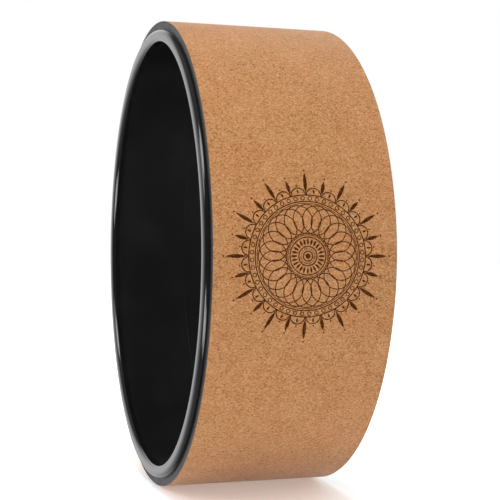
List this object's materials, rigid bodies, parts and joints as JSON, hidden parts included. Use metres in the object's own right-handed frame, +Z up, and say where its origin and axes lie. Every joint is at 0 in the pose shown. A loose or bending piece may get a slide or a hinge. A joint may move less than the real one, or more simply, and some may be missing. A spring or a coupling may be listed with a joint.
{
  "type": "yoga wheel",
  "caption": "Hollow moulded hoop with rounded lips, wrapped in a foam pad and a printed cork cover, that stands and rolls on its tread to support the back.",
  "frame": {"origin": "centre of the wheel, on its axis, midway between the two lips", "axes": "+Y along the wheel's axis, from the left lip to the right lip; +Z up as the wheel stands on its tread; +X towards the printed side"},
  "size_m": [0.33, 0.125, 0.33],
  "materials": {
    "hoop_plastic": "smooth moulded black, glossy on the lips",
    "adhesive": "thin clear double-sided film, dark against the black hoop",
    "foam": "matte closed-cell foam, dark grey",
    "cork": "fine agglomerated cork, matte, with a dark printed rosette"
  },
  "bodies": {
    "root": {"left_half_hoop": "hoop_plastic", "right_half_hoop": "hoop_plastic", "bonding_film": "adhesive", "foam_pad": "foam", "cork_cover": "cork"}
  },
  "joints": []
}
